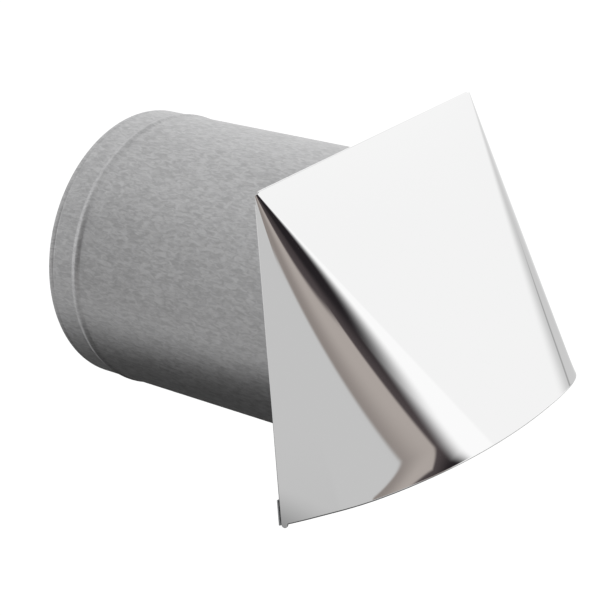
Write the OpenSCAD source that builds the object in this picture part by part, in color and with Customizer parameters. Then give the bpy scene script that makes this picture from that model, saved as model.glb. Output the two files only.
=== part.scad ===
// Hooded wall vent: a hood folded from one polished sheet, closed at the back
// by a plate that carries a round galvanized duct tail and a gravity damper.
// Origin: duct axis where it crosses the wall plane. +Y runs into the wall
// along the duct, +Z is up, and the hood faces -Y.

/* [Duct] */
// Outside diameter of the duct tail
duct_d = 100; // [80:1:125]
// Length of the duct tail behind the wall plane
duct_len = 108; // [60:1:200]
// Thickness of the galvanized duct sheet
duct_wall = 0.5; // [0.4:0.05:0.7]
// Distance from the tail's end to the middle of its stop bead
bead_from_end = 13.5; // [8:0.5:25]
// Width of the stop bead
bead_w = 4.4; // [3:0.1:6]
// Height of the stop bead above the duct
bead_h = 0.5; // [0.4:0.1:1.2]
// Width of the rim that is rolled over the back plate
rim_w = 3.3; // [2.8:0.1:4]
// Height of the locking fold behind the back plate
lock_h = 1.6; // [1:0.1:1.8]

/* [Hood] */
// Thickness of the hood sheet
sheet = 0.5; // [0.4:0.05:0.7]
// Distance from the duct to the outside of each flank
side_margin = 8; // [7.6:0.1:14]
// Height above the duct at which the front would meet the wall plane
top_margin = 10.3; // [9.8:0.1:16]
// Angle of the sloping front from the wall
slope_angle = 33.7; // [31:0.1:42]
// Angle on the front from its fall line to the start of the rounded corner
corner_angle = 20.2; // [15:0.1:23]
// Length of the front from the wall plane down to the lip
lip_reach = 107.6; // [100:0.1:125]
// How far the lip waves either way of a straight line on the flat sheet
lip_bow = 1.15; // [0:0.05:2]
// Width of the hem that is folded back inside the lip
hem_w = 7; // [4:0.5:10]
// Gap left between the hem and the sheet
hem_gap = 0.15; // [0.1:0.05:0.3]
// Width of the unhemmed tongue at the foot of each flank
tongue_w = 3.4; // [2.5:0.1:5]
// How far the tongue hangs below the hem line
tongue_drop = 2.3; // [1.5:0.1:3]
// Outside radius of the sharp fold along the top
top_fold_r = 0.6; // [0.55:0.05:0.9]
// Outside radius of the fold along each back edge
side_fold_r = 0.75; // [0.75:0.05:1]
// Radius left open at the two top corners
relief_r = 2.3; // [2.1:0.1:3]
// Clearance between the hood's flanges and the duct
flange_gap = 2.3; // [1.9:0.1:3]

/* [Back plate] */
// Thickness of the back plate
plate = 0.5; // [0.4:0.05:0.8]
// Height of the strip that folds back behind the hood's flanges
return_h = 9.5; // [6:0.5:12]
// Gap between the folded strip and the flanges
return_gap = 0.15; // [0.05:0.05:0.4]
// Clearance between the back plate and the hem of each flank
plate_gap = 0.15; // [0.1:0.05:0.3]
// Height of the hinge ears' notch below the hinge axis
ear_notch = 4.5; // [3.5:0.5:8]
// Diameter of the four rivets that join plate and hood
rivet_d = 3; // [2.4:0.1:3.2]
// Height of the rivets above and below the duct axis
rivet_z = 38; // [34:1:42]

/* [Damper] */
// Thickness of the damper's sheet
flap_sheet = 0.4; // [0.3:0.05:0.6]
// How far the damper laps over the duct's edge
flap_lap = 3; // [2:0.1:3.2]
// Diameter of the hinge rod
rod_d = 2; // [1.6:0.1:2.4]
// Radial clearance between the rod and what it passes through
rod_fit = 0.05; // [0.03:0.01:0.08]
// Clearance between the hinge ears and the hood's front
ear_gap = 0.35; // [0.25:0.05:0.6]
// Width of metal round the hole in each hinge ear
ear_rim = 0.85; // [0.7:0.05:1]
// Distance from each hinge ear to the outside of its flank
ear_inset = 6.5; // [6:0.1:9]
// Side play of the damper between the ears
side_play = 0.4; // [0.3:0.05:1]
// Depth of the dish pressed into the damper
dish_h = 3; // [2.8:0.1:3.5]
// Radius of the dish's flat middle
dish_r = 36; // [24:1:38]
// Width of the dish's sloping wall
dish_wall_w = 4; // [3:0.5:6]
// Thickness of the foam ring that the damper closes on
seal_t = 1.15; // [0.9:0.05:1.6]
// Gap left between the closed damper and the foam ring
seat_gap = 0.05; // [0.03:0.01:0.1]

/* [Hidden] */

duct_r = duct_d / 2;
half_w = duct_r + side_margin;
apex_z = duct_r + top_margin;
round_fn = 96;
small_fn = 32;

// Layers in front of the wall plane, from the hood's flange to the damper.
plate_back = -sheet;
plate_front = plate_back - plate;
rim_front = plate_front - duct_wall;
seal_front = rim_front - seal_t;
knuckle_back = seal_front - seat_gap;

// Hinge axis: one knuckle radius in front of the seat, and as high as the
// ears can go under the sloping front.
rod_r = rod_d / 2;
knuckle_in = rod_r + rod_fit;
knuckle_r = knuckle_in + flap_sheet;
ear_hole_r = rod_r + rod_fit;
ear_r = ear_hole_r + ear_rim;
hinge_y = knuckle_back - knuckle_r;
hinge_z = apex_z - (sheet + ear_gap + ear_r - cos(slope_angle) * hinge_y) / sin(slope_angle);
ear_x = half_w - ear_inset;

// The sloping front: its fall line and its outward normal.
fall = [0, -sin(slope_angle), -cos(slope_angle)];
front_n = [0, -cos(slope_angle), sin(slope_angle)];

// The left rounded corner is a right circular cone with its apex where the
// front, the flank and the wall plane meet. It touches front and flank.
flank_n = [-1, 0, 0];
apex = [-half_w, 0, apex_z];
axis_tilt = atan(sqrt(2) * tan(corner_angle));
cone_half = asin(sin(axis_tilt) / sqrt(2));
mid_n = (front_n + flank_n) / sqrt(2);
cone_axis = cos(axis_tilt) * fall - sin(axis_tilt) * mid_n;
cone_out = sin(axis_tilt) * fall + cos(axis_tilt) * mid_n;
cone_side = (front_n - flank_n) / sqrt(2);
cone_turn = acos(cos(axis_tilt) / (sqrt(2) * cos(cone_half)));
function cone_radial(a) = cos(a) * cone_out + sin(a) * cone_side;
function cone_line(a) = cos(cone_half) * cone_axis + sin(cone_half) * cone_radial(a);
function cone_normal(a) = cos(cone_half) * cone_radial(a) - sin(cone_half) * cone_axis;

// Lip on the flat sheet: its distance from the apex, measured down the fall
// line, waves a little with the distance s from the middle of the front. A
// line at angle u from the fall line reaches the lip at lip_at(u).
hem_r = sheet + hem_gap / 2;
function lip_line(s) = lip_reach + lip_bow * cos(180 * s / half_w);
function lip_at(u) = (lip_line(half_w - lip_reach * tan(u)) - hem_r) / cos(u);
function flat_angle(a) = corner_angle - (cone_turn - a) * sin(cone_half);
flank_end = flat_angle(-cone_turn);
back_edge = flank_end + corner_angle - slope_angle;
hem_end_u = back_edge + atan(tongue_w * cos(back_edge) / lip_reach);

// A station is one straight line down the sheet: [top, bottom, normal], all
// on the outer face, and optionally the x of the top flange's edge.
function unit(v) = v / norm(v);
function mix(a, b, k) = a + k * (b - a);
fold_top = apex_z - relief_r - 2.7;
fold_head = [-half_w, -side_fold_r, fold_top];
function flank_station(u, k) =
    let (lean = u - back_edge)
    [mix(fold_head, apex + relief_r * cone_line(-cone_turn), k),
     apex + lip_at(u) * [0, -sin(lean), -cos(lean)], flank_n];
function cone_station(a) =
    [apex + relief_r * cone_line(a), apex + lip_at(flat_angle(a)) * cone_line(a), cone_normal(a)];
front_top = top_fold_r / tan(slope_angle / 2);
front_lip_x = half_w - lip_at(corner_angle) * sin(corner_angle);
top_end_x = half_w - relief_r * 0.75;
function front_station(f) =
    let (x = f * (front_lip_x - 0.4))
    [[f * top_end_x, 0, apex_z] + front_top * fall,
     [x, 0, apex_z] + (lip_line(x) - hem_r) * fall, front_n, f * (top_end_x - flange_w)];

// Side flange, back edge fold and the rounded tongue at the flank's foot.
flange_edge = duct_r + flange_gap;
flange_w = half_w - flange_edge;
tongue_share = 0.3;
hem_end = flank_station(hem_end_u, tongue_share)[1];
tongue_c = hem_end[1] / 2;
function tongue_z(y) =
    hem_end[2] - tongue_drop * sqrt(max(0, 1 - pow((y - tongue_c) / tongue_c, 2)));
function tongue_station(k) =
    let (y = mix(-side_fold_r, hem_end[1], k))
    [flank_station(hem_end_u, tongue_share * k)[0], [-half_w, y, tongue_z(y)], flank_n];
function fold_station(a) =
    let (n = [-cos(a), sin(a), 0],
         p = [side_fold_r - half_w, -side_fold_r, 0] + side_fold_r * n,
         z = tongue_z(-side_fold_r) + (tongue_drop * 0.75) * a / 90)
    [[p[0], p[1], fold_top - side_fold_r * a / 90], [p[0], p[1], z], n];
function flange_station() =
    let (f = fold_station(90))
    [[-flange_edge, 0, f[0][2] - flange_w], [-flange_edge, 0, f[1][2]], [0, 1, 0]];

fold_steps = 4;
tongue_steps = 6;
flank_steps = 3;
cone_steps = 18;
front_steps = 6;
left_plain = concat(
    [flange_station()],
    [for (i = [0:fold_steps]) fold_station(90 - 90 * i / fold_steps)],
    [for (i = [1:tongue_steps - 1]) tongue_station(i / tongue_steps)]);
left_hemmed = concat(
    [for (i = [0:flank_steps - 1]) let (k = i / flank_steps)
        flank_station(mix(hem_end_u, flank_end, k), mix(tongue_share, 1, k))],
    [for (i = [0:cone_steps]) cone_station(-cone_turn + 2 * cone_turn * i / cone_steps)]);
front = [for (i = [-front_steps:front_steps]) front_station(i / front_steps)];
function flip(p) = [-p[0], p[1], p[2]];
function mirrored(s) = [for (i = [len(s) - 1:-1:0]) [flip(s[i][0]), flip(s[i][1]), flip(s[i][2])]];
stations = concat(left_plain, left_hemmed, front, mirrored(left_hemmed), mirrored(left_plain));

// Section of the sheet at a station, as pairs of points on its outer and its
// inner face: top flange, top fold, the sheet itself, hem fold and hem.
bend_steps = 6;
hem_steps = 6;
sheet_top = 1 + bend_steps;
sheet_end = sheet_top + 1;
hem_tip = sheet_end + hem_steps + 1;
top_turn = 180 - slope_angle;
function top_point(s, i, r) =
    let (x = i == 0 ? (len(s) > 3 ? s[3] : s[0][0]) : s[0][0],
         a = i == 0 ? 0 : top_turn * (i - 1) / bend_steps,
         z = i == 0 ? flange_edge : apex_z - front_top + r * sin(a))
    [x, -top_fold_r + r * cos(a), z];
function hem_point(s, i, r) =
    let (g = unit(s[1] - s[0]), a = 180 * i / hem_steps)
    s[1] - hem_r * s[2] + r * (cos(a) * s[2] + sin(a) * g);
function section_point(s, i, inner) =
    i < sheet_top ? top_point(s, i, top_fold_r - inner * sheet) :
    i == sheet_top ? s[0] - inner * sheet * s[2] :
    i < hem_tip ? hem_point(s, i - sheet_end, hem_r - inner * sheet) :
    hem_point(s, hem_steps, hem_r - inner * sheet) - hem_w * unit(s[1] - s[0]);
row = hem_tip + 1;
hood_points = [for (s = stations) each
    [for (inner = [0, 1]) each [for (i = [0:row - 1]) section_point(s, i, inner)]]];

// Which part of the section runs between one station and the next.
hem_from = len(left_plain);
top_from = hem_from + len(left_hemmed);
last = len(stations) - 1;
function low(j) = j >= top_from && j < last - top_from ? 0 : sheet_top;
function high(j) = j >= hem_from && j < last - hem_from ? hem_tip : sheet_end;
function outer_at(j, i) = j * 2 * row + i;
function inner_at(j, i) = outer_at(j, i) + row;
function quad(a, b, c, d) = [[a, b, c], [a, c, d]];
function strip(j, k, i) = quad(outer_at(j, i), outer_at(j, i + 1), inner_at(k, i + 1), inner_at(k, i));
function walls(j) = concat(
    [for (i = [low(j):high(j) - 1]) each
        quad(outer_at(j + 1, i), outer_at(j + 1, i + 1), outer_at(j, i + 1), outer_at(j, i))],
    [for (i = [low(j):high(j) - 1]) each
        quad(inner_at(j, i), inner_at(j, i + 1), inner_at(j + 1, i + 1), inner_at(j + 1, i))],
    quad(outer_at(j, low(j)), inner_at(j, low(j)), inner_at(j + 1, low(j)), outer_at(j + 1, low(j))),
    quad(outer_at(j + 1, high(j)), inner_at(j + 1, high(j)), inner_at(j, high(j)), outer_at(j, high(j))));
function cap(j, from, to, lead) = [for (i = [from:1:to - 1]) each
    [for (f = strip(j, j, i)) lead ? f : [f[2], f[1], f[0]]]];
hood_faces = concat(
    [for (j = [0:last - 1]) each walls(j)],
    cap(0, sheet_top, sheet_end, true),
    cap(hem_from, sheet_end, hem_tip, true),
    cap(top_from, 0, sheet_top, true),
    cap(last - top_from, 0, sheet_top, false),
    cap(last - hem_from, sheet_end, hem_tip, false),
    cap(last, sheet_top, sheet_end, false));

// Turns a part that was drawn along +Z so that it lies along +Y.
module along_y() { rotate([-90, 0, 0]) children(); }

rivet_x = (flange_edge + half_w - side_fold_r) / 2;
module at_rivets() {
    for (x = [-rivet_x, rivet_x], z = [-rivet_z, rivet_z])
        translate([x, 0, z]) along_y() children();
}

module hood_shell() color([0.82, 0.82, 0.82]) {
    difference() {
        polyhedron(hood_points, hood_faces, convexity = 6);
        at_rivets() translate([0, 0, -2 * sheet])
            cylinder(h = 4 * sheet, r = rivet_d / 2 + 0.05, $fn = small_fn);
    }
}

// Back plate: a flat sheet inside the hood. Its foot folds back under the
// hood's flanges and is cut round the duct's locking fold, and its top
// corners are bent forward as hinge ears.
plate_half = half_w - 2 * sheet - hem_gap - plate_gap;
plate_top = apex_z - (sheet + 0.5) / sin(slope_angle) + plate_front / tan(slope_angle);
foot_z = hem_end[2] - tongue_drop * 0.9;
return_back = return_gap + plate;
foot_r = (return_back - plate_front) / 2;
duct_hole_r = duct_r + plate + 0.1;
module plate_slab(half, low_z, high_z, front, back) {
    translate([-half, front, low_z]) cube([2 * half, back - front, high_z - low_z]);
}
module plate_foot() {
    translate([-plate_half, return_back - foot_r, foot_z]) rotate([0, 90, 0])
        difference() {
            cylinder(h = 2 * plate_half, r = foot_r, $fn = small_fn);
            translate([0, 0, -1]) cylinder(h = 2 * plate_half + 2, r = foot_r - plate, $fn = small_fn);
            translate([-2 * foot_r, -2 * foot_r, -1]) cube([2 * foot_r, 4 * foot_r, 2 * plate_half + 2]);
        }
}
module ear() {
    difference() {
        union() {
            translate([0, hinge_y, hinge_z - 0.9 * ear_r])
                cube([plate, plate_back - hinge_y, 1.8 * ear_r]);
            translate([0, hinge_y, hinge_z]) rotate([0, 90, 0]) cylinder(h = plate, r = ear_r, $fn = small_fn);
        }
        translate([-1, hinge_y, hinge_z]) rotate([0, 90, 0])
            cylinder(h = plate + 2, r = ear_hole_r, $fn = small_fn);
    }
}
module back_plate() color([0.7, 0.71, 0.72]) {
    notch_z = hinge_z - ear_r - ear_notch;
    difference() {
        union() {
            plate_slab(plate_half, foot_z, notch_z, plate_front, plate_back);
            plate_slab(ear_x + plate / 2, notch_z - 1, plate_top, plate_front, plate_back);
            plate_slab(half_w - 0.1, foot_z, foot_z + return_h, return_gap, return_back);
            plate_foot();
            translate([ear_x - plate / 2, 0, 0]) ear();
            translate([-ear_x - plate / 2, 0, 0]) ear();
        }
        translate([0, plate_front - 1, 0]) along_y() cylinder(h = plate + 1.5, r = duct_hole_r, $fn = round_fn);
        translate([0, return_gap - 0.1, 0]) along_y()
            cylinder(h = plate + 1, r = duct_r + lock_h + 0.4, $fn = round_fn);
        at_rivets() translate([0, 0, plate_front - 1]) cylinder(h = plate + 2, r = rivet_d / 2 + 0.05, $fn = small_fn);
    }
}

// Duct tail: its rim is rolled over the plate in front, and a locking fold
// grips the plate from behind. A shallow bead near the end stops the next
// duct. Profile points are [radius, distance along the duct].
function arc(c, r, from, to, n) = [for (i = [0:n]) let (a = from + (to - from) * i / n)
    c + r * [cos(a), sin(a)]];
bead_mid = duct_len - bead_from_end;
bead_R = (pow(bead_w / 2, 2) + pow(bead_h, 2)) / (2 * bead_h);
bead_half = asin(bead_w / 2 / bead_R);
lock_w = 2 * duct_wall + 0.1;
module duct_tube() color([0.62, 0.63, 0.64]) {
    rim_c = [duct_r + plate, plate_back];
    bead_c = duct_r + bead_h - bead_R;
    along_y() rotate_extrude($fn = round_fn) polygon(concat(
        [[duct_r + rim_w, rim_front]],
        arc(rim_c, plate + duct_wall, -90, -180, 5),
        arc([bead_c - duct_wall, bead_mid], bead_R, -bead_half, bead_half, 8),
        [[duct_r - duct_wall, duct_len], [duct_r, duct_len]],
        arc([bead_c, bead_mid], bead_R, bead_half, -bead_half, 8),
        [[duct_r, plate_back + lock_w], [duct_r + lock_h - lock_w / 4, plate_back + lock_w],
         [duct_r + lock_h, plate_back + lock_w * 0.75], [duct_r + lock_h, plate_back + lock_w * 0.25],
         [duct_r + lock_h - lock_w / 4, plate_back]],
        arc(rim_c, plate, -180, -90, 5),
        [[duct_r + rim_w, plate_front]]));
}

module seal_ring() color([0.16, 0.16, 0.17]) {
    translate([0, seal_front, 0]) along_y() difference() {
        cylinder(h = seal_t, r = duct_r + rim_w - 0.15, $fn = round_fn);
        translate([0, 0, -1]) cylinder(h = seal_t + 2, r = duct_hole_r, $fn = round_fn);
    }
}

// Damper: a disc with square shoulders, rolled round the rod along its top
// and stiffened by a dish, whose weight in front of the axis keeps it shut.
flap_back = knuckle_back - 0.04;
flap_half = ear_x - plate / 2 - side_play;
flap_r = duct_r + flap_lap;
module across(half) { translate([-half, hinge_y, hinge_z]) rotate([0, 90, 0]) children(); }
module damper_flap() color([0.75, 0.76, 0.77]) {
    dish_edge = dish_r + dish_wall_w;
    difference() {
        union() {
            across(flap_half) cylinder(h = 2 * flap_half, r = knuckle_r, $fn = small_fn);
            difference() {
                union() {
                    translate([-flap_half, flap_back - flap_sheet, 0])
                        cube([2 * flap_half, flap_sheet, hinge_z]);
                    translate([0, flap_back, 0]) rotate([90, 0, 0])
                        cylinder(h = flap_sheet, r = flap_r, $fn = round_fn);
                }
                translate([-flap_half, flap_back - 2, hinge_z]) cube([2 * flap_half, 3, flap_r]);
                translate([0, flap_back + 1, 0]) rotate([90, 0, 0])
                    cylinder(h = flap_sheet + 2, r = dish_edge, $fn = round_fn);
            }
        }
        across(flap_half + 1) cylinder(h = 2 * flap_half + 2, r = knuckle_in, $fn = small_fn);
        across(flap_half + 1) translate([0.3, -2 * knuckle_r, 0])
            cube([0.5, 2 * knuckle_r, 2 * flap_half + 2]);
    }
    translate([0, flap_back, 0]) rotate([90, 0, 0]) rotate_extrude($fn = round_fn) polygon([
        [0, dish_h], [dish_r, dish_h], [dish_edge - 0.3, 0], [dish_edge + 0.5, 0],
        [dish_edge + 0.5, flap_sheet], [dish_edge, flap_sheet],
        [dish_r + 0.3, dish_h + flap_sheet], [0, dish_h + flap_sheet]]);
}

nut_t = 0.6;
rod_half = ear_x + plate / 2 + nut_t + 0.8;
module hinge_rod() color([0.78, 0.78, 0.79]) {
    across(rod_half) rotate_extrude($fn = small_fn) polygon([
        [0, 0], [rod_r - 0.3, 0], [rod_r, 0.3], [rod_r, 2 * rod_half - 0.3],
        [rod_r - 0.3, 2 * rod_half], [0, 2 * rod_half]]);
}

// Push nuts: spring-steel caps pressed on the rod outside each ear.
module rod_push_nuts() color([0.3, 0.3, 0.32]) {
    for (side = [-1, 1])
        translate([side * (ear_x + plate / 2), hinge_y, hinge_z]) rotate([0, side * 90, 0]) difference() {
            cylinder(h = nut_t, r = ear_r - 0.1, $fn = small_fn);
            translate([0, 0, -1]) cylinder(h = nut_t + 2, r = rod_r - 0.02, $fn = small_fn);
        }
}

// Rivets: a low head behind the flange and a set head in front of the plate.
head_t = 0.55;
module flange_rivets() color([0.66, 0.67, 0.68]) {
    at_rivets() rotate_extrude($fn = small_fn) polygon([
        [0, head_t], [0.5 * rivet_d, head_t], [0.75 * rivet_d, head_t / 2], [0.8 * rivet_d, 0],
        [rivet_d / 2, 0], [rivet_d / 2, plate_front], [0.75 * rivet_d, plate_front],
        [0.7 * rivet_d, plate_front - 0.6], [0.35 * rivet_d, plate_front - 1],
        [0, plate_front - 1]]);
}

hood_shell();
back_plate();
duct_tube();
seal_ring();
damper_flap();
hinge_rod();
rod_push_nuts();
flange_rivets();
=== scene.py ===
import math
import bpy
import numpy as np
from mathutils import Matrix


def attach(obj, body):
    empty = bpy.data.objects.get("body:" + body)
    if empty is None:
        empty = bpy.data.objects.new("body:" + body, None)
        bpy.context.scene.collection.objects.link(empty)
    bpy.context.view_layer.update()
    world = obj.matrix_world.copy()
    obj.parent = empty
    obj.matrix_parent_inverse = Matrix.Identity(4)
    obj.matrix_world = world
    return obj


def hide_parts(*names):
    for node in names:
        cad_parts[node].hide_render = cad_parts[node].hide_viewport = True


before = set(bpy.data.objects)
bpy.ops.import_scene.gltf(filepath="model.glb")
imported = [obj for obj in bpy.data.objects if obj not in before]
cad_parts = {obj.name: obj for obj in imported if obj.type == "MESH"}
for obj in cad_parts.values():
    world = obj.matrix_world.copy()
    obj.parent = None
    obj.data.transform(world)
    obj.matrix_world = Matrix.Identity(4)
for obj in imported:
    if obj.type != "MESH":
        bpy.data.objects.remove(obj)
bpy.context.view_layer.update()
print("stage: CAD frame loaded")

# Camera, solved from the outlines of the duct and the hood in the photograph.
cameraSetup = {
    "place": (-0.461921, -0.364486, 0.259176),
    "turnDegrees": (66.12489, 3.72940, -51.10064),
    "lens": 110.143,
    "sensor": 36.0,
}


def makeCamera(setup):
    data = bpy.data.cameras.new("photoCamera")
    data.lens = setup["lens"]
    data.sensor_width = setup["sensor"]
    data.clip_start = 0.01
    data.clip_end = 50.0
    cam = bpy.data.objects.new("photoCamera", data)
    cam.location = setup["place"]
    cam.rotation_euler = [math.radians(a) for a in setup["turnDegrees"]]
    bpy.context.collection.objects.link(cam)
    bpy.context.scene.camera = cam


makeCamera(cameraSetup)
bpy.context.scene.view_settings.view_transform = "Standard"
print("stage: camera placed")


# Wire wraps one output socket, and an expression on wires adds Math nodes.
class Wire:
    def __init__(self, sheet, socket):
        self.sheet = sheet
        self.socket = socket

    def join(self, operation, *values):
        return self.sheet.node("Math", {"operation": operation}, list(values))

    def __add__(self, other):
        return self.join("ADD", self, other)

    def __radd__(self, other):
        return self.join("ADD", other, self)

    def __sub__(self, other):
        return self.join("SUBTRACT", self, other)

    def __rsub__(self, other):
        return self.join("SUBTRACT", other, self)

    def __mul__(self, other):
        return self.join("MULTIPLY", self, other)

    def __rmul__(self, other):
        return self.join("MULTIPLY", other, self)

    def __truediv__(self, other):
        return self.join("DIVIDE", self, other)


# NodeSheet holds the nodes of one material or of the world.
class NodeSheet:
    def __init__(self, owner):
        owner.use_nodes = True
        self.tree = owner.node_tree
        self.tree.nodes.clear()

    # One method for every node: its type, its settings, then its inputs by
    # place (a list) or by name (a dictionary). Gives the first output.
    def node(self, kind, settings=None, inputs=None, output=0):
        made = self.tree.nodes.new("ShaderNode" + kind)
        for name, value in (settings or {}).items():
            setattr(made, name, value)
        pairs = inputs.items() if isinstance(inputs, dict) else enumerate(inputs or [])
        for name, value in pairs:
            if isinstance(value, Wire):
                self.tree.links.new(value.socket, made.inputs[name])
            else:
                made.inputs[name].default_value = value
        return Wire(self, made.outputs[output]) if made.outputs else None

    # Smooth step of a value from 0 at low to 1 at high.
    def step(self, value, low, high):
        return self.node("MapRange", {"interpolation_type": "SMOOTHSTEP"},
                         {"Value": value, "From Min": low, "From Max": high})

    # Blend of two colours by a factor.
    def blend(self, factor, first, second):
        mix = self.tree.nodes.new("ShaderNodeMix")
        mix.data_type = "RGBA"
        for place, value in ((0, factor), (6, first), (7, second)):
            if isinstance(value, Wire):
                self.tree.links.new(value.socket, mix.inputs[place])
            elif isinstance(value, (int, float)):
                mix.inputs[place].default_value = value
            else:
                mix.inputs[place].default_value = (*value, 1.0)
        return Wire(self, mix.outputs[2])


def startMaterial(name):
    material = bpy.data.materials.new(name)
    return material, NodeSheet(material)


def grey(level):
    return (level, level, level)


studio = {
    "floorHeight": -0.55,
    "floorReach": 60.0,
    "floorTone": 0.9,
    "floorGlow": 0.24,
    "fillTop": 0.95,
    "fillBottom": 0.55,
    "panel": 0.963,
    "strip": 1.03,
    "warmLow": (0.275, 0.243, 0.226),
    "warmHigh": (0.432, 0.388, 0.362),
    "dark": (0.019, 0.016, 0.018),
    "darkEdge": (0.075, 0.062, 0.064),
    "table": 0.575,
    "tableLow": 0.05,
    "wall": 0.40,
    "ceiling": 0.72,
    "backdrop": 0.95,
    "sideGrey": 0.62,
    "sideLine": 0.34,
}


# The room that polished metal reflects, as a function of direction: turn is
# the angle round +Z from -Y (towards +X), lift the angle above the horizon.
# A grey table lies below a slanting edge, a warm wall above it, the dark end
# of the room behind the camera, and a white screen to the right.
def makeWorld(s):
    world = bpy.data.worlds.new("studioRoom")
    bpy.context.scene.world = world
    world.cycles.sampling_method = "NONE"
    n = NodeSheet(world)
    spot = n.node("TexCoord")
    split = n.node("SeparateXYZ", None, [spot])
    x, y, z = (Wire(n, split.socket.node.outputs[i]) for i in range(3))
    turn = x.join("ARCTAN2", x, y * -1.0) * (180 / math.pi)
    lift = z.join("ARCSINE", z) * (180 / math.pi)
    above = lift - turn.join("MAXIMUM", turn, -108.0) * 0.274 - 12.9

    warmth = n.step(above + (turn + 60.0) * 0.05, 0.0, 6.5)
    room = n.blend(warmth, s["warmLow"], s["warmHigh"])
    edge = lift.join("MINIMUM", (turn + 45.0) * 0.29 + 8.0, 14.0)
    darkTone = n.blend(n.step(lift - edge, 0.0, 7.0), s["darkEdge"], s["dark"])
    room = n.blend(n.step(lift - edge, -0.7, 0.7), room, darkTone)
    wall = n.step(turn, -84.0, -100.0) * n.step(above, 2.5, 9.0)
    room = n.blend(wall, room, grey(s["wall"]))

    screenEdge = lift.join("MINIMUM", lift.join("MAXIMUM", lift - 19.0, 0.0) * 3.0, 24.0) + 6.5
    room = n.blend(n.step(turn - screenEdge, -13.0, 12.0), room, grey(s["strip"]))
    room = n.blend(n.step(turn, 44.0, 50.0), room, grey(s["panel"]))
    room = n.blend(n.step(turn, 55.0, 77.0), room, grey(s["sideGrey"]))
    room = n.blend(n.step(turn + lift * 1.25, 80.0, 96.0), room, grey(s["strip"]))
    line = n.step(turn, 75.5, 78.0) * n.step(turn, 81.0, 78.0) * n.step(lift, 2.0, -1.0)
    room = n.blend(line, room, grey(s["sideLine"]))

    low = n.step(above, 0.5, -0.5) * n.step(turn, -25.0, -40.0)
    low = low.join("MAXIMUM", low, n.step(lift, -24.0, -30.0))
    table = n.blend(n.step(lift, -27.0, -52.0), grey(s["table"]), grey(s["tableLow"]))
    room = n.blend(low, room, table)
    room = n.blend(n.step(lift, 33.0, 48.0), room, grey(s["ceiling"]))
    room = n.blend(n.step(y, 0.66, 0.85) * n.step(lift, -30.0, -8.0), room, grey(s["backdrop"]))

    fill = n.blend(n.step(z, -1.0, 1.0), grey(s["fillBottom"]), grey(s["fillTop"]))
    rays = n.node("LightPath").socket.node.outputs
    colour = n.blend(Wire(n, rays["Is Glossy Ray"]), fill, room)
    colour = n.blend(Wire(n, rays["Is Camera Ray"]), colour, grey(1.0))
    back = n.node("Background", None, {"Color": colour, "Strength": 1.0})
    n.node("OutputWorld", None, {"Surface": back})


def stagePlane(name, x, y, z, centreY=0.0):
    mesh = bpy.data.meshes.new(name)
    corners = [(-x, centreY - y, z), (x, centreY - y, z), (x, centreY + y, z), (-x, centreY + y, z)]
    mesh.from_pydata(corners, [], [(0, 1, 2, 3)])
    plane = bpy.data.objects.new(name, mesh)
    bpy.context.collection.objects.link(plane)
    return plane


# Pale floor well below the part, which is made to hang on a wall. It is seen
# only from above, and polished metal sees the room in its place.
def makeFloor(s):
    floor = stagePlane("studioFloor", s["floorReach"], s["floorReach"], s["floorHeight"])
    floor.visible_glossy = False
    material, n = startMaterial("paleFloor")
    lit = n.node("BsdfDiffuse", None, {"Color": (*grey(s["floorTone"]), 1.0)})
    glow = n.node("Emission", None, {"Strength": s["floorGlow"]})
    both = n.node("AddShader", None, [lit, glow])
    clear = n.node("BsdfTransparent")
    under = Wire(n, n.node("NewGeometry").socket.node.outputs["Backfacing"])
    shown = n.node("MixShader", None, [under, both, clear])
    n.node("OutputMaterial", None, {"Surface": shown})
    floor.data.materials.append(material)


# The shade under the duct, which only reflections see.
def makeShade():
    shade = stagePlane("ductShade", 0.16, 0.16, -0.078, 0.05)
    shade.visible_camera = False
    shade.visible_diffuse = False
    shade.visible_shadow = False
    material, n = startMaterial("softShade")
    split = n.node("SeparateXYZ", None, [n.node("TexCoord", None, None, 3)])
    x, y = (Wire(n, split.socket.node.outputs[i]) for i in range(2))
    along = (y - 0.05) / 0.14
    across = x / 0.10
    reach = along * along + across * across
    dark = n.node("Emission", None, {"Color": (*grey(0.05), 1.0)})
    clear = n.node("BsdfTransparent")
    shown = n.node("MixShader", None, [n.step(reach, 0.35, 1.1), dark, clear])
    n.node("OutputMaterial", None, {"Surface": shown})
    shade.data.materials.append(material)


makeWorld(studio)
makeFloor(studio)
makeShade()
print("stage: studio built")

polish = {"colour": (0.93, 0.93, 0.93), "roughness": 0.03, "streak": 0.012}


# Polished stainless sheet: mirror with very fine streaks down the fall line.
def polishedSteel(p):
    material, n = startMaterial("polishedSteel")
    spot = n.node("TexCoord", None, None, 3)
    turned = n.node("Mapping", None, {"Vector": spot, "Scale": (700.0, 60.0, 40.0)})
    fine = n.node("TexNoise", None, {"Vector": turned, "Scale": 1.0, "Detail": 3.0})
    roughness = fine * p["streak"] + p["roughness"]
    shader = n.node("BsdfPrincipled", None, {
        "Base Color": (*p["colour"], 1.0), "Metallic": 1.0, "Roughness": roughness})
    n.node("OutputMaterial", None, {"Surface": shader})
    return material


zinc = {"low": (0.45, 0.45, 0.455), "high": (0.63, 0.63, 0.635), "roughness": 0.42}


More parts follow.
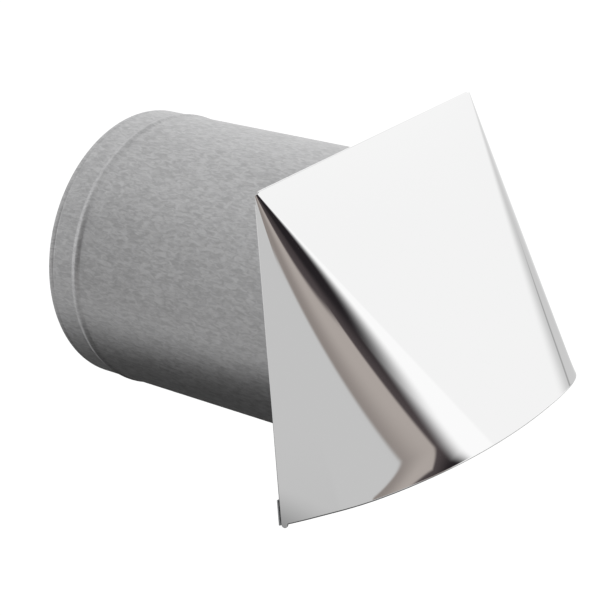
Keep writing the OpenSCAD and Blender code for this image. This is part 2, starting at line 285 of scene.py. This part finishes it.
# Galvanized sheet: short ripples along the tube (the Y axis) over a broader
# mottle, in colour, roughness and a very shallow bump.
def galvanized(p):
    material, n = startMaterial("galvanizedSteel")
    spot = n.node("TexCoord", None, None, 3)
    long = n.node("Mapping", None, {"Vector": spot, "Scale": (900.0, 300.0, 900.0)})
    ripple = n.node("TexNoise", None, {
        "Vector": long, "Scale": 1.0, "Detail": 3.0, "Roughness": 0.6, "Distortion": 0.8})
    wide = n.node("Mapping", None, {"Vector": spot, "Scale": (90.0, 30.0, 90.0)})
    cloud = n.node("TexNoise", None, {"Vector": wide, "Scale": 1.0, "Detail": 2.0})
    tone = ripple * 0.88 + cloud * 0.12
    colour = n.blend(n.step(tone, 0.3, 0.7), p["low"], p["high"])
    bump = n.node("Bump", None, {"Strength": 0.5, "Distance": 0.0001, "Height": ripple})
    shader = n.node("BsdfPrincipled", None, {
        "Base Color": colour, "Metallic": 1.0,
        "Roughness": tone * 0.16 + (p["roughness"] - 0.08), "Normal": bump})
    n.node("OutputMaterial", None, {"Surface": shader})
    return material


# Plain metal: one colour with a fine mottle in tone and roughness.
def plainMetal(name, colour, roughness, scale=300.0):
    material, n = startMaterial(name)
    spot = n.node("TexCoord", None, None, 3)
    mottle = n.node("TexNoise", None, {"Vector": spot, "Scale": scale, "Detail": 3.0})
    tone = n.blend(mottle, [c * 0.88 for c in colour], [min(1.0, c * 1.1) for c in colour])
    shader = n.node("BsdfPrincipled", None, {
        "Base Color": tone, "Metallic": 1.0, "Roughness": mottle * 0.12 + (roughness - 0.06)})
    n.node("OutputMaterial", None, {"Surface": shader})
    return material


# Foam: dark, matt, with open pores as a bump, and painted shade that darkens its tone in the pore hollows.
def sealFoam():
    material, n = startMaterial("sealFoam")
    spot = n.node("TexCoord", None, None, 3)
    poreDepthAndShade = n.node("TexVoronoi", None, {"Vector": spot, "Scale": 1600.0})
    # Painted shade: the tone is darkest where the bump is lowest, in the pore hollows.
    tone = n.blend(poreDepthAndShade, (0.012, 0.012, 0.013), (0.05, 0.05, 0.053))
    bump = n.node("Bump", None, {"Strength": 0.6, "Distance": 0.0001, "Height": poreDepthAndShade})
    shader = n.node("BsdfPrincipled", None, {
        "Base Color": tone, "Roughness": 0.9, "Normal": bump})
    n.node("OutputMaterial", None, {"Surface": shader})
    return material


mirrorSheet = polishedSteel(polish)
zincSheet = galvanized(zinc)
finishes = {
    "back_plate": plainMetal("plainSteel", (0.62, 0.63, 0.64), 0.3),
    "damper_flap": plainMetal("plainAluminium", (0.75, 0.76, 0.77), 0.34),
    "hinge_rod": plainMetal("brightRod", (0.7, 0.7, 0.71), 0.22),
    "rod_push_nuts": plainMetal("bluedSpringSteel", (0.16, 0.16, 0.18), 0.35),
    "flange_rivets": plainMetal("rivetSteel", (0.58, 0.59, 0.6), 0.3),
    "seal_ring": sealFoam(),
    "hood_shell": mirrorSheet,
    "duct_tube": zincSheet,
}
for nodeName, finish in finishes.items():
    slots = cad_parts[nodeName].data.materials
    slots.clear()
    slots.append(finish)
print("stage: finishes made")


# Makes an object from points, quads or triangles, and a normal per corner.
def makePiece(name, points, faces, cornerNormals, material, body):
    mesh = bpy.data.meshes.new(name)
    mesh.from_pydata(points.tolist(), [], faces.tolist())
    mesh.polygons.foreach_set("use_smooth", np.ones(len(faces), dtype=bool))
    mesh.normals_split_custom_set(cornerNormals.reshape(-1, 3).tolist())
    mesh.materials.append(material)
    mesh.update()
    piece = bpy.data.objects.new(name, mesh)
    bpy.context.collection.objects.link(piece)
    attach(piece, body)
    return piece


def unit(v):
    return v / np.linalg.norm(v, axis=-1, keepdims=True)


hood = {
    "halfWidth": 0.058,
    "apexHeight": 0.0603,
    "slope": math.radians(33.7),
    "corner": math.radians(20.2),
    "sheet": 0.0005,
    "lipReach": 0.1076,
    "lipBow": 0.00115,
    "hemWidth": 0.007,
    "hemGap": 0.00015,
    "tongueWidth": 0.0034,
    "tongueDrop": 0.0023,
    "topFold": 0.0006,
    "sideFold": 0.00075,
    "relief": 0.0023,
    "flangeEdge": 0.0523,
    "flare": math.radians(4.0),
    "flareWidth": 0.0085,
    "coneSteps": 120,
    "flankSteps": 16,
    "frontSteps": 24,
    "foldSteps": 10,
    "tongueSteps": 24,
    "rows": 24,
    "flareRows": 14,
    "hemSteps": 12,
}


# The hood is one sheet. Each station is a straight line down the sheet from
# top to bottom with its outward normal. Between the flat flank (normal -X)
# and the sloping front lies a right circular cone with its apex in the top
# corner; line(a) = cos(half) axis + sin(half) radial(a) are its lines. On
# the flat pattern the lip is reach + bow cos(pi s / halfWidth), s being the
# distance from the middle of the front.
def hoodStations(h):
    slope, corner, w = h["slope"], h["corner"], h["halfWidth"]
    fall = np.array([0, -math.sin(slope), -math.cos(slope)])
    frontNormal = np.array([0, -math.cos(slope), math.sin(slope)])
    flankNormal = np.array([-1.0, 0, 0])
    apex = np.array([-w, 0, h["apexHeight"]])
    tilt = math.atan(math.sqrt(2) * math.tan(corner))
    half = math.asin(math.sin(tilt) / math.sqrt(2))
    middle = (frontNormal + flankNormal) / math.sqrt(2)
    axis = math.cos(tilt) * fall - math.sin(tilt) * middle
    out = math.sin(tilt) * fall + math.cos(tilt) * middle
    side = (frontNormal - flankNormal) / math.sqrt(2)
    turn = math.acos(math.cos(tilt) / (math.sqrt(2) * math.cos(half)))
    hemR = h["sheet"] + h["hemGap"] / 2

    def lipLine(s):
        return h["lipReach"] + h["lipBow"] * np.cos(np.pi * s / w)

    def lipAt(u):
        return (lipLine(w - h["lipReach"] * np.tan(u)) - hemR) / np.cos(u)

    def flatAngle(a):
        return corner - (turn - a) * math.sin(half)

    backEdge = flatAngle(-turn) + corner - slope
    hemEndU = backEdge + math.atan(h["tongueWidth"] * math.cos(backEdge) / h["lipReach"])
    fold = h["sideFold"]
    foldTop = h["apexHeight"] - h["relief"] - 0.0027
    foldHead = np.array([-w, -fold, foldTop])
    share = 0.3

    # cone
    a = np.linspace(-turn, turn, h["coneSteps"] + 1)[:, None]
    radial = np.cos(a) * out + np.sin(a) * side
    line = math.cos(half) * axis + math.sin(half) * radial
    coneTop = apex + h["relief"] * line
    coneBottom = apex + lipAt(flatAngle(a)) * line
    coneNormal = math.cos(half) * radial - math.sin(half) * axis

    # flank, from the hem's end to the cone
    k = np.linspace(0, 1, h["flankSteps"] + 1)[:-1, None]
    u = hemEndU + k * (flatAngle(-turn) - hemEndU)
    lean = u - backEdge
    kTop = share + k * (1 - share)
    flankTop = foldHead + kTop * (coneTop[0] - foldHead)
    zero = np.zeros_like(u)
    flankBottom = apex + lipAt(u) * np.hstack([zero, -np.sin(lean), -np.cos(lean)])
    flankNormals = np.repeat(flankNormal[None], len(u), 0)

    # tongue and back edge fold
    hemEnd = flankBottom[0]
    centre = hemEnd[1] / 2

    def tongueZ(y):
        curve = np.sqrt(np.maximum(0, 1 - ((y - centre) / centre) ** 2))
        return hemEnd[2] - h["tongueDrop"] * curve

    t = (1 - np.cos(np.pi * np.linspace(0, 1, h["tongueSteps"] + 1)[1:-1, None])) / 2
    yTongue = -fold + t * (hemEnd[1] + fold)
    tongueTop = foldHead + share * t * (coneTop[0] - foldHead)
    tongueBottom = np.hstack([np.full_like(t, -w), yTongue, tongueZ(yTongue)])
    tongueNormals = np.repeat(flankNormal[None], len(t), 0)
    b = np.linspace(np.pi / 2, 0, h["foldSteps"] + 1)[:, None]
    foldNormal = np.hstack([-np.cos(b), np.sin(b), np.zeros_like(b)])
    spine = np.array([fold - w, -fold, 0]) + fold * foldNormal
    q = b / (np.pi / 2)
    zTop = foldTop - fold * q
    zBottom = tongueZ(-fold) + 0.75 * h["tongueDrop"] * q
    foldTops = np.hstack([spine[:, :2], zTop])
    foldBottoms = np.hstack([spine[:, :2], zBottom])
    flangeW = w - h["flangeEdge"]
    flangeTop = np.array([[-h["flangeEdge"], 0, zTop[0, 0] - flangeW]])
    flangeBottom = np.array([[-h["flangeEdge"], 0, zBottom[0, 0]]])
    flangeNormal = np.array([[0, 1.0, 0]])

    # front
    frontTop = h["topFold"] / math.tan(slope / 2)
    lipX = w - lipAt(corner) * math.sin(corner)
    topX = w - h["relief"] * 0.75
    f = np.linspace(-1, 1, h["frontSteps"] + 1)[:, None]
    x = f * (lipX - 0.0004)
    top = np.hstack([f * topX, np.zeros_like(f), np.full_like(f, h["apexHeight"])]) + frontTop * fall
    foot = np.hstack([x, np.zeros_like(f), np.full_like(f, h["apexHeight"])])
    foot = foot + (lipLine(x) - hemR) * fall
    frontNormals = np.repeat(frontNormal[None], len(f), 0)

    plain = (np.vstack([flangeTop, foldTops, tongueTop]),
             np.vstack([flangeBottom, foldBottoms, tongueBottom]),
             np.vstack([flangeNormal, foldNormal, tongueNormals]))
    hemmed = (np.vstack([flankTop, coneTop]), np.vstack([flankBottom, coneBottom]),
              np.vstack([flankNormals, coneNormal]))

    def mirrored(part):
        return tuple(p[::-1] * np.array([-1.0, 1, 1]) for p in part)

    parts = (plain, hemmed, (top, foot, frontNormals), mirrored(hemmed), mirrored(plain))
    tops, bottoms, normals = (np.vstack([p[i] for p in parts]) for i in range(3))
    counts = [len(p[0]) for p in parts]
    return tops, bottoms, unit(normals), counts, hemR, flangeW, frontTop


# Section of the sheet at every station, as outer and inner points: the top
# flange and its fold (front only), the sheet with a slight flare over the
# hem, the hem fold and the hem. Flare: the tangent turns outward by
# flare * e^1.5, e going from 0 to 1 over flareWidth above the lip.
def hoodPoints(h):
    tops, bottoms, normals, counts, hemR, flangeW, frontTop = hoodStations(h)
    n = len(tops)
    hasHem = np.zeros(n, bool)
    hasHem[counts[0]:n - counts[4]] = True
    isFront = np.zeros(n, bool)
    isFront[counts[0] + counts[1]:counts[0] + counts[1] + counts[2]] = True
    run = bottoms - tops
    length = np.linalg.norm(run, axis=1)[:, None]
    g = run / length
    conic = np.clip(np.abs(normals[:, 0]), 0, 1)
    conic = np.minimum(conic, np.abs(normals[:, 1]) / math.cos(h["slope"]))
    flare = np.where(hasHem, h["flare"] * np.clip((conic - 0.15) / 0.3, 0, 1), 0.0)[:, None]
    flareW = h["flareWidth"]

    # along the sheet, top to lip
    plainRows = np.linspace(0, 1, h["rows"] + 1)[:-1]
    e = np.linspace(0, 1, h["flareRows"] + 1)
    sheetDistance = np.concatenate([
        plainRows[None] * (length - flareW), (length - flareW) + e[None] * flareW], 1)
    into = np.clip((sheetDistance - (length - flareW)) / flareW, 0, 1)
    tilt = flare * into ** 1.5
    lift = flare * flareW * into ** 2.5 / 2.5
    along = g[:, None, :]
    normal = normals[:, None, :]
    sheetNormal = np.cos(tilt)[..., None] * normal - np.sin(tilt)[..., None] * along
    sheetPoint = tops[:, None] + sheetDistance[..., None] * along + lift[..., None] * normal

    # hem fold: half a turn about a centre hemR inside the lip
    endNormal = sheetNormal[:, -1]
    endPoint = sheetPoint[:, -1]
    endAlong = np.cos(flare) * g + np.sin(flare) * normals
    turn = np.linspace(0, np.pi, h["hemSteps"] + 1)[1:]
    spoke = np.cos(turn)[None, :, None] * endNormal[:, None] + np.sin(turn)[None, :, None] * endAlong[:, None]
    centre = endPoint - hemR * endNormal
    foldOuter = centre[:, None] + hemR * spoke
    foldInner = centre[:, None] + (hemR - h["sheet"]) * spoke

    # the hem itself runs back parallel to the sheet
    back = h["hemWidth"] / flareW
    eBack = np.linspace(1, 1 - back, 9)[1:]
    tiltB = flare * eBack ** 1.5
    liftB = flare * flareW * eBack ** 2.5 / 2.5
    normalB = np.cos(tiltB)[..., None] * normal - np.sin(tiltB)[..., None] * along
    distB = (length - flareW) + eBack[None] * flareW
    pointB = tops[:, None] + distB[..., None] * along + liftB[..., None] * normal
    hemOuter = pointB - 2 * hemR * normalB
    hemInner = pointB - (2 * hemR - h["sheet"]) * normalB

    # top flange and fold of the front
    topTurn = np.pi - h["slope"]
    v = np.linspace(0, 1, h["hemSteps"] + 1)[:-1] * topTurn
    r = h["topFold"]
    x = tops[:, 0][:, None]
    bendNormal = np.stack([0 * v, np.cos(v), np.sin(v)], -1)[None] + np.zeros((n, 1, 1))
    zFold = h["apexHeight"] - frontTop
    bendSpine = np.stack([x + 0 * v, -r + 0 * v + 0 * x, zFold + 0 * v + 0 * x], -1)
    bendOuter = bendSpine + r * bendNormal
    bendInner = bendSpine + (r - h["sheet"]) * bendNormal
    side = np.clip(x / (h["halfWidth"] - h["relief"] * 0.75), -1, 1)
    tipX = side * (h["halfWidth"] - h["relief"] * 0.75 - flangeW)
    tipOuter = np.stack([tipX, 0 * x, 0 * x + h["flangeEdge"]], -1)
    tipInner = tipOuter - np.array([0, h["sheet"], 0])
    tipNormal = np.broadcast_to(np.array([0, 1.0, 0]), tipOuter.shape)

    outer = np.concatenate([tipOuter, bendOuter, sheetPoint, foldOuter, hemOuter], 1)
    inner = np.concatenate([tipInner, bendInner, sheetPoint - h["sheet"] * sheetNormal,
                            foldInner, hemInner], 1)
    normalAll = np.concatenate([tipNormal, bendNormal, sheetNormal, spoke, -normalB], 1)
    firstSheet = 1 + v.size
    lastSheet = firstSheet + sheetPoint.shape[1] - 1
    last = outer.shape[1] - 1
    low = np.where(isFront, 0, firstSheet)
    high = np.where(hasHem, last, lastSheet)
    return outer, inner, normalAll, low, high


# Both faces of a thick sheet and the cut edge that joins them. A quad of the
# grid is kept between two stations where both have that part of the section.
def thickSheet(outer, inner, normals, low, high):
    n, m = outer.shape[:2]
    index = np.arange(n * m).reshape(n, m)
    i = np.arange(m - 1)[None]
    lowPair = np.maximum(low[:-1], low[1:])[:, None]
    highPair = np.minimum(high[:-1], high[1:])[:, None]
    keep = (i >= lowPair) & (i < highPair)
    a, b = index[:-1, :-1][keep], index[:-1, 1:][keep]
    c, d = index[1:, 1:][keep], index[1:, :-1][keep]
    outerFaces = np.stack([a, b, c, d], 1)
    innerFaces = np.stack([a, d, c, b], 1) + n * m
    edges = np.concatenate([np.stack([outerFaces[:, k], outerFaces[:, (k + 1) % 4]], 1)
                            for k in range(4)])
    pairs = np.sort(edges, 1)
    _, first, count = np.unique(pairs, axis=0, return_index=True, return_counts=True)
    rim = edges[first[count == 1]]
    rimFaces = np.stack([rim[:, 1], rim[:, 0], rim[:, 0] + n * m, rim[:, 1] + n * m], 1)
    points = np.concatenate([outer.reshape(-1, 3), inner.reshape(-1, 3)])
    flat = np.concatenate([normals.reshape(-1, 3), -normals.reshape(-1, 3)])
    faces = np.concatenate([outerFaces, innerFaces])
    smooth = flat[faces]
    corner = points[rimFaces]
    rimNormal = unit(np.cross(corner[:, 2] - corner[:, 0], corner[:, 3] - corner[:, 1]))
    allNormals = np.concatenate([smooth, np.repeat(rimNormal[:, None], 4, 1)])
    faces = np.concatenate([faces, rimFaces])
    used, packed = np.unique(faces, return_inverse=True)
    return points[used], packed.reshape(-1, 4), allNormals


def buildHood(h):
    points, faces, normals = thickSheet(*hoodPoints(h))
    piece = makePiece("foldedHood", points, faces, normals, mirrorSheet, "housing")
    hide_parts("hood_shell")
    return piece


buildHood(hood)
print("stage: hood folded")

duct = {
    "radius": 0.05,
    "wall": 0.0005,
    "length": 0.108,
    "rimReach": 0.0533,
    "plateBack": -0.0005,
    "lockHeight": 0.0016,
    "lockWidth": 0.0011,
    "beadMiddle": 0.0945,
    "beadWidth": 0.0044,
    "beadHeight": 0.0005,
    "endLine": 0.1058,
    "around": 288,
}


def arcPoints(centre, radius, fromDeg, toDeg, steps):
    a = np.radians(np.linspace(fromDeg, toDeg, steps + 1))
    return np.stack([centre[0] + radius * np.cos(a), centre[1] + radius * np.sin(a)], 1)


# Turns a closed profile of (radius, y) points round the Y axis: point(a) =
# (r sin a, y, r cos a). A joint between segments under 40 degrees is smooth.
def turnedPiece(profile, around):
    seg = np.roll(profile, -1, 0) - profile
    segNormal = unit(np.stack([-seg[:, 1], seg[:, 0]], 1))
    before = np.roll(segNormal, 1, 0)
    soft = (segNormal * before).sum(1) > math.cos(math.radians(40))
    mixed = unit(segNormal + before)
    startNormal = np.where(soft[:, None], mixed, segNormal)
    endNormal = np.where(np.roll(soft, -1)[:, None], np.roll(mixed, -1, 0), segNormal)
    a = np.linspace(0, 2 * np.pi, around, endpoint=False)
    spoke = np.stack([np.sin(a), 0 * a, np.cos(a)], 1)
    axis = np.array([0, 1.0, 0])
    points = profile[None, :, 0, None] * spoke[:, None] + profile[None, :, 1, None] * axis
    m = len(profile)
    i, j = np.meshgrid(np.arange(around), np.arange(m), indexing="ij")
    iNext, jNext = (i + 1) % around, (j + 1) % m
    faces = np.stack([i * m + j, i * m + jNext, iNext * m + jNext, iNext * m + j], -1).reshape(-1, 4)

    def turned(pair, place):
        return pair[:, 0][None, :, None] * spoke[place][:, None] + pair[:, 1][None, :, None] * axis

    here, there = np.arange(around), (np.arange(around) + 1) % around
    normals = np.stack([turned(startNormal, here), turned(endNormal, here),
                        turned(endNormal, there), turned(startNormal, there)], 2)
    return points.reshape(-1, 3), faces, normals.reshape(-1, 4, 3)


# Stop bead: r = radius + height (1 + cos(pi t)) / 2, t from -1 to 1 across it.
# The same curve runs inside. A shallow line near the end marks its trimmed edge.
def ductProfile(d):
    r, w, back = d["radius"], d["wall"], d["plateBack"]
    rimCentre = (r + 0.0005, back)
    t = np.linspace(-1, 1, 25)
    beadY = d["beadMiddle"] + t * d["beadWidth"] / 2
    beadR = r + d["beadHeight"] * (1 + np.cos(np.pi * t)) / 2
    lineT = np.linspace(-1, 1, 9)
    lineY = d["endLine"] + lineT * 0.0005
    lineR = r - 0.00007 * (1 + np.cos(np.pi * lineT)) / 2
    lw, lh = d["lockWidth"], d["lockHeight"]
    lockCentre = (r + lh - lw / 2, back + lw / 2)
    outer = np.concatenate([
        arcPoints((d["rimReach"] - w / 2, back - w * 1.5), w / 2, -90, 90, 6),
        arcPoints(rimCentre, 0.0005, -90, -180, 8),
        [[r, back + 0.00005]],
        arcPoints(lockCentre, lw / 2, -90, 90, 10),
        arcPoints((r + 0.0003, back + lw + 0.0003), 0.0003, -90, -180, 5),
        np.stack([beadR, beadY], 1),
        np.stack([lineR, lineY], 1),
        arcPoints((r - w / 2, d["length"] - w / 2), w / 2, 0, 180, 8),
        np.stack([beadR[::-1] - w, beadY[::-1]], 1),
        arcPoints(rimCentre, 0.0005 + w, -180, -90, 10),
    ])
    return outer[::-1]


def buildDuct(d):
    points, faces, normals = turnedPiece(ductProfile(d), d["around"])
    piece = makePiece("galvanizedDuct", points, faces, normals, zincSheet, "housing")
    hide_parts("duct_tube")
    return piece


buildDuct(duct)
print("stage: duct turned")
